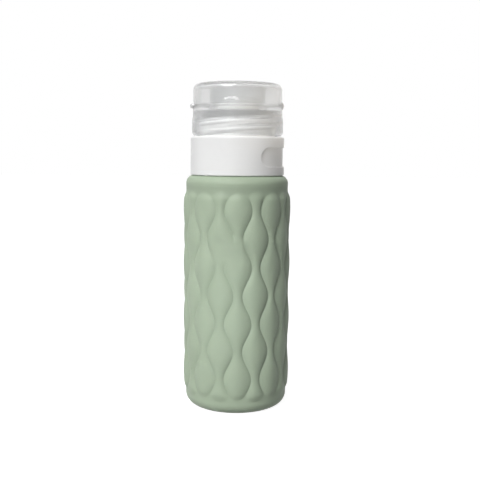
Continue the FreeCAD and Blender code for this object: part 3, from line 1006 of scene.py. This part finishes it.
@dataclass
class Collar:
    """White turning sleeve with an obround window and a lip over the neck's flange."""

    bottom: float = 95.1
    top: float = 110.4
    foot_radius: float = 19.1
    top_radius: float = 19.0
    bore: float = 18.6
    lip_bore: float = 16.6
    lip_thickness: float = 1.1
    edge: float = 0.8
    foot_edge: float = 0.2
    window_centre_angle: float = 75.0
    window_span: float = 90.0
    window_height: float = 7.5
    window_centre: float = 102.25
    window_bevel: float = 0.15
    crowding: float = 1.3
    long_steps: int = 144
    end_steps: int = 36
    out_steps: int = 40
    finish: WhiteFinish = field(
        default_factory=lambda: WhiteFinish("collar_white", (0.855, 0.858, 0.855), (0.885, 0.888, 0.885))
    )

    def outer_radius(self, height: np.ndarray | float) -> np.ndarray | float:
        """Radius of the drafted outside: it falls evenly from the foot to the top."""
        share = (height - self.bottom) / (self.top - self.bottom)
        return self.foot_radius + (self.top_radius - self.foot_radius) * share

    def window_path(self, grow: float) -> np.ndarray:
        """Trace the window's edge, flattened: right end, top, left end and bottom, anticlockwise.

        The ends are half circles: angle from the window's middle is the straight half length plus the end
        radius times the cosine, and height is the end radius times the sine.

        Args:
            grow: How far the edge is moved outwards, in millimetres.

        Returns:
            Points of (angle from the window's centre, height).
        """
        half = self.window_height / 2
        end = half + grow
        straight = math.radians(self.window_span) / 2 - half / self.foot_radius
        turn = np.linspace(-np.pi / 2, np.pi / 2, self.end_steps, endpoint=False)
        run = np.linspace(1, -1, self.long_steps, endpoint=False)
        right = np.stack([straight + end / self.foot_radius * np.cos(turn), end * np.sin(turn)], 1)
        top = np.stack([run * straight, np.full_like(run, end)], 1)
        path = np.concatenate([right, top, -right, -top])
        return path + np.array([0.0, self.window_centre])

    def border_path(self, low: float, high: float) -> np.ndarray:
        """Trace the sleeve's border, flattened, in step with the window's edge.

        Args:
            low: Height of its lower edge.
            high: Height of its upper edge.

        Returns:
            Points of (angle from the window's centre, height).
        """
        rise = np.linspace(low, high, self.end_steps, endpoint=False)
        run = np.linspace(np.pi, -np.pi, self.long_steps, endpoint=False)
        right = np.stack([np.full_like(rise, np.pi), rise], 1)
        top = np.stack([run, np.full_like(run, high)], 1)
        left = np.stack([np.full_like(rise, -np.pi), rise[::-1] + (high - low) / self.end_steps], 1)
        foot = np.stack([-run, np.full_like(run, low)], 1)
        return np.concatenate([right, top, left, foot])

    def wrapped(self, path: np.ndarray, radius: np.ndarray | float) -> np.ndarray:
        """Wrap flattened points round the axis at a radius."""
        angle = path[..., 0] + math.radians(self.window_centre_angle)
        return np.stack([radius * np.sin(angle), -radius * np.cos(angle), path[..., 1]], axis=-1)

    def surface(self) -> Surface:
        """Build the sleeve from sheets that run from the window's edge to the sleeve's border.

        Each sheet is a straight blend, in the flattened sleeve, from a point of the window's edge to the
        point of the border in step with it, wrapped at the outer or inner radius. The window's wall joins
        the two sheets, and turned rims close the top lip and the foot.

        Returns:
            The sleeve, ready to weld.
        """
        low, high = self.bottom + self.foot_edge, self.top - self.edge
        inner_high = self.top - self.lip_thickness
        share = np.linspace(0, 1, self.out_steps)[:, None, None] ** self.crowding
        edge = self.window_path(0.0)
        outer = self.window_path(self.window_bevel) * (1 - share) + self.border_path(low, high) * share
        inner = edge * (1 - share) + self.border_path(low, inner_high) * share
        outside = self.wrapped(outer, self.outer_radius(outer[..., 1]))
        inside = self.wrapped(inner, self.bore)
        bevel = self.wrapped(edge, self.outer_radius(edge[:, 1]) - self.window_bevel)
        wall = np.stack([outside[0], bevel, inside[0]])
        sheets = [
            Surface(sheet.reshape(-1, 3), grid_faces(*sheet.shape[:2], False, True))
            for sheet in (outside, inside, wall)
        ]
        top = [
            Corner(self.outer_radius(high), high),
            Corner(self.top_radius, self.top, self.edge),
            Corner(self.lip_bore, self.top, Ease.FINE),
            Corner(self.lip_bore, inner_high, Ease.FINE),
            Corner(self.bore, inner_high),
        ]
        foot = [
            Corner(self.bore, low),
            Corner(self.bore, self.bottom, Ease.FINE),
            Corner(self.foot_radius, self.bottom, self.foot_edge),
            Corner(self.outer_radius(low), low),
        ]
        return sheets[0].joined(*sheets[1:], self.rim(top), self.rim(foot))

    def rim(self, corners: list[Corner]) -> Surface:
        """Turn a rim's outline with its points in step with the border's."""
        start = math.radians(self.window_centre_angle) + np.pi / 2
        return turned(corners, False, self.long_steps, start=start)

    def build(self) -> bpy.types.Object:
        """Make the sleeve, dress it and seat it on its own body."""
        seat = Seat(Body.COLLAR, Slot.WHITE_PLASTIC, "collar")
        return fit("window_collar", self.surface(), seat, self.finish.material())


@dataclass
class ScrewCap:
    """Clear screw cap: skirt with a grip bead, deck, nozzle, slit valve and gasket."""

    skirt_bore: float = 16.6
    skirt_radius: float = 18.15
    skirt_bottom: float = 110.8
    toe: float = 0.35
    bead_radius: float = 18.5
    bead_bottom: float = 112.1
    bead_foot_round: float = 0.8
    bead_top: float = 116.7
    bead_top_round: float = 1.0
    bead_slope: float = 2.0
    seam: float = 122.7
    rim_width: float = 2.1
    deck_top: float = 122.2
    deck_bottom: float = 120.7
    nozzle_radius: float = 9.55
    nozzle_top: float = 126.2
    nozzle_round: float = 1.6
    exit_radius: float = 6.6
    exit_flare: float = 0.8
    pocket_radius: float = 8.55
    valve_seat: float = 123.7
    valve_top: float = 125.1
    valve_radius: float = 8.5
    valve_dome: float = 6.2
    valve_flange: float = 1.0
    valve_wall: float = 0.7
    valve_hollow: float = 0.25
    valve_segments: int = 96
    gasket_bore: float = 12.85
    gasket_radius: float = 14.5
    gasket_bottom: float = 116.9
    thread: Thread = Thread(
        tooth=((0.25, 0.6), (-0.6, 0.35), (-1.0, 0.1), (-1.0, -0.2), (-0.6, -0.4), (0.25, -0.65)),
        rise=0.45,
        bottom=114.2,
        turns=0.9,
        steps=140,
        offset=0.2,
    )
    shell_segments: int = 168
    skirt_shade: float = 0.5
    deck_shade: float = 0.15
    deck_fade: float = 2.0
    lip_margin: float = 0.1
    clear: ClearFinish = field(default_factory=ClearFinish)
    milky: ValveFinish = field(default_factory=ValveFinish)
    polished: ClearFinish = field(
        default_factory=lambda: ClearFinish("polished_lip", gloss=1.0, gloss_bend=1.8)
    )
    # Painted shade: the gasket is dark grey to stand for the shadowed gap between the neck's top and the
    # deck.
    painted_shade_gasket: ClearFinish = field(
        default_factory=lambda: ClearFinish(
            "gasket_painted_shade", (0.175, 0.18, 0.177), roughness=0.4, clarity=0.0, gloss=0.0
        )
    )

    def shell(self) -> Surface:
        """Turn the cap's outline round the axis and wind the thread inside its skirt.

        The shade is even on the skirt's wall, deepens a little above the bead and is zero further in.

        Returns:
            Cap and thread in one surface, with its shade.
        """
        rim = self.skirt_radius - self.rim_width
        slope_top = self.bead_top + self.bead_slope
        corners = [
            Corner(self.skirt_bore, self.skirt_bottom, Ease.SLIGHT),
            Corner(self.skirt_radius - self.toe, self.skirt_bottom, Ease.SMALL),
            Corner(self.bead_radius, self.bead_bottom, self.bead_foot_round),
            Corner(self.bead_radius, self.bead_top, self.bead_top_round),
            Corner(self.skirt_radius, slope_top, self.bead_slope),
            Corner(self.skirt_radius, self.seam, Ease.SLIGHT),
            Corner(rim, self.seam, Ease.FINE),
            Corner(rim, self.deck_top, Ease.FINE),
            Corner(self.nozzle_radius, self.deck_top, Ease.SOFT),
            Corner(self.nozzle_radius, self.nozzle_top, self.nozzle_round),
            Corner(self.exit_radius + self.exit_flare, self.nozzle_top, Ease.FINE),
            Corner(self.exit_radius, self.valve_top, Ease.MEDIUM),
            Corner(self.exit_radius, self.valve_seat),
            Corner(self.pocket_radius, self.valve_seat),
            Corner(self.pocket_radius, self.deck_bottom),
            Corner(self.skirt_bore, self.deck_bottom, Ease.MEDIUM),
        ]
        ridges = self.thread.ridges(self.skirt_bore)
        shell = turned(corners, True, self.shell_segments).joined(*ridges)
        deck = np.clip((shell.points[:, 2] - slope_top) / self.deck_fade, 0, 1)
        shell.shade = np.where(shell.reach() > rim, self.skirt_shade + self.deck_shade * deck, 0.0)
        return shell

    def valve(self) -> Surface:
        """Turn the outline of the top-hat valve, with its slightly hollowed membrane, round the axis.

        Returns:
            The closed valve.
        """
        bottom = self.valve_seat - self.valve_flange
        under = self.valve_top - self.valve_wall
        inner = self.valve_dome - self.valve_wall
        corners = [
            Corner(0.0, under - self.valve_hollow),
            Corner(inner, under, Ease.MEDIUM),
            Corner(inner, bottom, Ease.CRISP),
            Corner(self.valve_radius, bottom, Ease.CRISP),
            Corner(self.valve_radius, self.valve_seat, Ease.CRISP),
            Corner(self.valve_dome, self.valve_seat, Ease.FINE),
            Corner(self.valve_dome, self.valve_top, Ease.SOFT),
            Corner(0.0, self.valve_top - self.valve_hollow),
        ]
        return turned(corners, False, self.valve_segments)

    def polish(self, shell: bpy.types.Object) -> None:
        """Give the faces round the nozzle's mouth the cap's second, glossier finish.

        Args:
            shell: The cap, with both finishes on it.
        """
        faces = shell.data.polygons
        middle = np.empty(3 * len(faces))
        faces.foreach_get("center", middle)
        place = middle.reshape(-1, 3) / MM
        near = np.hypot(place[:, 0], place[:, 1]) < self.nozzle_radius + self.lip_margin
        mouth = near & (place[:, 2] > self.valve_seat)
        faces.foreach_set("material_index", mouth.astype(np.int32))

    def build(self, clear: bpy.types.Material) -> list[bpy.types.Object]:
        """Make the cap, the valve and the gasket, dress them and the hidden valve retainer.

        Args:
            clear: Finish shared by the cap and the hinge.

        Returns:
            The cap, the valve and the gasket.
        """
        shell = fit(
            "screw_cap",
            self.shell(),
            Seat(Body.CAP, Slot.CLEAR_PLASTIC, "cap_base"),
            clear,
            self.polished.material(),
        )
        self.polish(shell)
        milky = self.milky.material()
        valve_place = Seat(Body.CAP, Slot.CLEAR_SILICONE, "slit_valve")
        valve = fit("valve_membrane", self.valve(), valve_place, milky)
        gasket = fit(
            "sealing_ring",
            plain_ring(self.gasket_bore, self.gasket_radius, self.gasket_bottom, self.deck_bottom, Ease.FINE),
            Seat(Body.CAP_SEAL, Slot.CLEAR_SILICONE, "cap_gasket"),
            self.painted_shade_gasket.material(),
        )
        dress_solid("valve_retainer", milky)
        return [shell, valve, gasket]


@dataclass
class FlipLid:
    """Clear flip lid with its seal ring, plug and thumb tab, and the film hinge that joins it to the cap."""

    radius: float = 18.05
    wall: float = 1.5
    bottom: float = 122.85
    top: float = 131.6
    top_thickness: float = 1.5
    top_round: float = 2.5
    inner_round: float = 1.2
    ring_bore: float = 10.05
    ring_radius: float = 11.15
    ring_drop: float = 6.4
    ring_margin: float = 0.1
    ring_shade: float = 1.0
    wall_shade: float = 0.5
    plug_radius: float = 2.8
    plug_bottom: float = 125.4
    cup_arc_steps: int = 9
    cup_segments: int = 168
    tab_reach: float = 1.2
    tab_rise: float = 0.8
    tab_drop: float = 1.3
    tab_back: float = 0.25
    tab_root: float = 0.6
    tab_half_angle: float = 11.0
    tab_arc_steps: int = 6
    tab_steps: int = 61
    hinge_radius: float = 18.2
    hinge_bow: float = 0.65
    hinge_film: float = 0.35
    hinge_half_height: float = 1.5
    hinge_half_angle: float = 13.0
    hinge_height: float = 122.775
    hinge_ends: float = 12.0
    hinge_arc_steps: int = 17
    hinge_steps: int = 33
    hinge_sharp_angle: float = 60.0
    clear: ClearFinish = field(
        default_factory=lambda: ClearFinish(
            "clear_lid", (0.886, 0.888, 0.888), roughness=0.17, gloss=0.5, polish=0.022
        )
    )

    def cup(self) -> Surface:
        """Turn the lid's outline round the axis, and shade its seal ring more deeply than the rest.

        Returns:
            The closed cup with its ring and plug.
        """
        ceiling = self.top - self.top_thickness
        corners = [
            Corner(0.0, self.plug_bottom),
            Corner(self.plug_radius, self.plug_bottom, Ease.SOFT),
            Corner(self.plug_radius, ceiling, Ease.ROUND),
            Corner(self.ring_bore, ceiling, Ease.MEDIUM),
            Corner(self.ring_bore, ceiling - self.ring_drop, Ease.SMALL),
            Corner(self.ring_radius, ceiling - self.ring_drop, Ease.SMALL),
            Corner(self.ring_radius, ceiling, Ease.MEDIUM),
            Corner(self.radius - self.wall, ceiling, self.inner_round),
            Corner(self.radius - self.wall, self.bottom, Ease.FINE),
            Corner(self.radius, self.bottom, Ease.SLIGHT),
            Corner(self.radius, self.top, self.top_round),
            Corner(0.0, self.top),
        ]
        cup = turned(corners, False, self.cup_segments, self.cup_arc_steps)
        reach = cup.reach()
        ring = (reach > self.ring_bore - self.ring_margin) & (reach < self.ring_radius + self.ring_margin)
        ring &= cup.points[:, 2] < ceiling - 2 * self.ring_margin
        cup.shade = np.where(ring, self.ring_shade, self.wall_shade)
        return cup

    def tab(self) -> Surface:
        """Carry the tab's section, a lip that hangs over the skirt, round the lid's edge.

        The section's size follows the root of 1 minus the sixth power of the place along the tab, so it is
        nearly even and closes to nothing at both ends.

        Returns:
            The closed tab.
        """
        corners = [
            Corner(-self.tab_root, 0.0),
            Corner(self.tab_back, 0.0),
            Corner(self.tab_back, -self.tab_drop, Ease.SLIGHT),
            Corner(self.tab_reach, -self.tab_drop, Ease.SOFT),
            Corner(self.tab_reach, self.tab_rise, Ease.ROUND),
            Corner(-self.tab_root, self.tab_rise),
        ]
        section = eased_outline(corners, True, self.tab_arc_steps)
        place = np.linspace(-1, 1, self.tab_steps)
        angle = np.pi + math.radians(self.tab_half_angle) * place
        swell = np.sqrt(np.clip(1 - place**6, 0, 1))
        return swept_ridge(section, angle, self.radius, self.bottom, swell)

    def hinge(self) -> Surface:
        """Carry the bowed film's section across the seam.

        The film bows out by half a cosine wave between its two roots and keeps one thickness. It is drawn
        along the seam and closes at both ends.

        Returns:
            The closed strap.
        """
        place = np.linspace(-1, 1, self.hinge_arc_steps)
        bow = self.hinge_bow * np.cos(place * np.pi / 2)
        rise = place * self.hinge_half_height
        outside = np.stack([bow, rise], 1)
        inside = np.stack([np.maximum(bow - self.hinge_film, 0.0), rise], 1)[::-1]
        section = np.concatenate([outside, inside])
        along = np.linspace(-1, 1, self.hinge_steps)
        angle = math.radians(self.hinge_half_angle) * along
        swell = np.clip((1 - np.abs(along)) * self.hinge_ends, 0, 1)
        return swept_ridge(section, angle, self.hinge_radius, self.hinge_height, swell)

    def build(self, clear: bpy.types.Material) -> list[bpy.types.Object]:
        """Make the lid and its hinge, dress them and seat the lid.

        Args:
            clear: Finish shared by the cap and the hinge.

        Returns:
            The lid and the hinge.
        """
        seat = Seat(Body.LID, Slot.CLEAR_PLASTIC, "lid")
        lid = fit("flip_lid", self.cup().joined(self.tab()), seat, self.clear.material())
        hinge = make_piece("film_hinge", self.hinge(), self.hinge_sharp_angle)
        hinge.data.materials.append(clear)
        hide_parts("living_hinge")
        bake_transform(hinge)
        LOG.info("%s bends from %s to %s", hinge.name, Body.CAP.value, Body.LID.value)
        return [lid, hinge]


@dataclass(frozen=True)
class Lamp:
    """One rectangular lamp, broad or narrow, aimed at the bottle: metres, watts and degrees."""

    name: str
    place: Triple
    size: Pair
    power: float
    aim: Triple = (0.0, 0.0, 0.07)
    spread: float = 180.0
    effect: Effect = Effect.ALL
    colour: Triple = (1.0, 1.0, 1.0)

    def build(self) -> bpy.types.Object:
        """Make the lamp, choose what it adds and turn it from its place to its aim.

        Returns:
            The lamp's object.
        """
        light = bpy.data.lights.new(self.name, "AREA")
        light.shape = "RECTANGLE"
        light.size, light.size_y = self.size
        light.energy = self.power
        light.color = self.colour
        light.spread = math.radians(self.spread)
        lamp = bpy.data.objects.new(self.name, light)
        lamp.visible_diffuse = self.effect is not Effect.GLOSS
        lamp.visible_glossy = self.effect is not Effect.TONE
        lamp.visible_transmission = self.effect is Effect.ALL
        bpy.context.scene.collection.objects.link(lamp)
        away = np.array(self.place) - np.array(self.aim)
        back = away / np.linalg.norm(away)
        side = np.cross((0.0, 0.0, 1.0), back)
        side = side / np.linalg.norm(side)
        turn = np.stack([side, np.cross(back, side), back], axis=1)
        lamp.matrix_world = Matrix.Translation(self.place) @ Matrix(turn.tolist()).to_4x4()
        return lamp


@dataclass
class Studio:
    """White floor and surroundings, lamps and the camera.

    Places and the floor are in metres, the camera's turns in radians, and its lens and sensor in millimetres.
    """

    lens: float = 57.96
    sensor: float = 36.0
    nearest: float = 0.01
    eye: Triple = (0.001361, -0.31806, 0.10411)
    tilt: float = 0.11276
    roll: float = 0.0080
    floor_size: float = 6.0
    floor_points: int = 9
    ambient: float = 0.10
    bounce: float = 0.26
    floor_tone: float = 0.35
    floor_glow: float = 0.96
    lamps: tuple[Lamp, ...] = (
        Lamp("key", (-1.24, -2.16, 2.20), (1.60, 1.60), 107.0),
        Lamp("left", (-0.78, 0.02, 0.05), (0.40, 0.30), 0.30),
        Lamp("right", (0.70, 0.25, 0.06), (0.40, 0.60), 0.05),
        Lamp(
            "lid_right",
            (0.30, -0.12, 0.16),
            (0.03, 0.03),
            0.0042,
            aim=(0.0, 0.0, 0.131),
            spread=12.0,
            effect=Effect.TONE,
            colour=(1.0, 0.91, 0.79),
        ),
        Lamp("front", (-0.22, -0.66, 0.05), (0.06, 0.06), 0.0034, aim=(0.0, 0.0, 0.046), spread=10.5),
        Lamp("top", (-0.15, 0.22, 0.75), (0.30, 0.10), 0.25),
        Lamp(
            "glint",
            (-0.155, -0.57, 0.1648),
            (0.38, 0.0026),
            0.060,
            aim=(0.0, 0.0, 0.126),
            effect=Effect.GLOSS,
        ),
    )

    def surroundings(self) -> None:
        """Set the world: white to the eye and a plain grey light to everything else."""
        world = bpy.data.worlds.new("studio")
        nodes = Nodes(world, "ShaderNodeOutputWorld")
        sky = nodes.add("ShaderNodeBackground", {"Color": (1.0, 1.0, 1.0, 1.0)})
        nodes.link(nodes.ramp(nodes.white_for_eye(), self.ambient, 1.0), sky.inputs["Strength"])
        nodes.link(sky.outputs[0], nodes.output.inputs["Surface"])
        bpy.context.scene.world = world

    def floor(self) -> bpy.types.Object:
        """Make the pale floor, an even grid at height 0 that looks white but still takes the bottle's shadow.

        Returns:
            The floor.
        """
        half = self.floor_size / 2
        place = np.linspace(-half, half, self.floor_points)
        x, y = np.meshgrid(place, place)
        points = np.stack([x, y, np.zeros_like(x)], axis=-1).reshape(-1, 3)
        floor = make_piece("floor", Surface(points / MM, grid_faces(self.floor_points, self.floor_points)))
        nodes = Nodes.named("pale_floor")
        diffuse = nodes.add("ShaderNodeBsdfDiffuse")
        seen = nodes.white_for_eye()
        tone = nodes.mix(seen, (self.bounce,) * 3, (self.floor_tone,) * 3)
        nodes.link(tone, diffuse.inputs["Color"])
        glow = nodes.add("ShaderNodeEmission")
        nodes.link(nodes.ramp(seen, 0.0, self.floor_glow), glow.inputs["Strength"])
        both = nodes.add("ShaderNodeAddShader")
        nodes.link(diffuse.outputs[0], both.inputs[0])
        nodes.link(glow.outputs[0], both.inputs[1])
        nodes.link(both.outputs[0], nodes.output.inputs["Surface"])
        floor.data.materials.append(nodes.owner)
        return floor

    def camera(self) -> bpy.types.Object:
        """Set the camera where the picture was taken from.

        Returns:
            The camera's object.
        """
        data = bpy.data.cameras.new("eye")
        data.lens = self.lens
        data.sensor_width = self.sensor
        data.clip_start = self.nearest
        camera = bpy.data.objects.new("eye", data)
        bpy.context.scene.collection.objects.link(camera)
        turn = Matrix.Rotation(math.pi / 2 - self.tilt, 4, "X") @ Matrix.Rotation(self.roll, 4, "Z")
        camera.matrix_world = Matrix.Translation(self.eye) @ turn
        bpy.context.scene.camera = camera
        return camera

    def build(self) -> None:
        """Set up the whole studio."""
        bpy.context.scene.view_settings.view_transform = "Standard"
        self.surroundings()
        self.floor()
        for lamp in self.lamps:
            lamp.build()
        self.camera()
        LOG.info("studio ready with %d lamps", len(self.lamps))


def main() -> None:
    """Build and dress the bottle, piece by piece, then the studio."""
    logging.basicConfig(level=logging.INFO, format="%(message)s")
    cap = ScrewCap()
    clear = cap.clear.material()
    SiliconeBody().build()
    NeckGroup().build()
    Collar().build()
    cap.build(clear)
    FlipLid().build(clear)
    Studio().build()


if __name__ == "__main__":
    main()
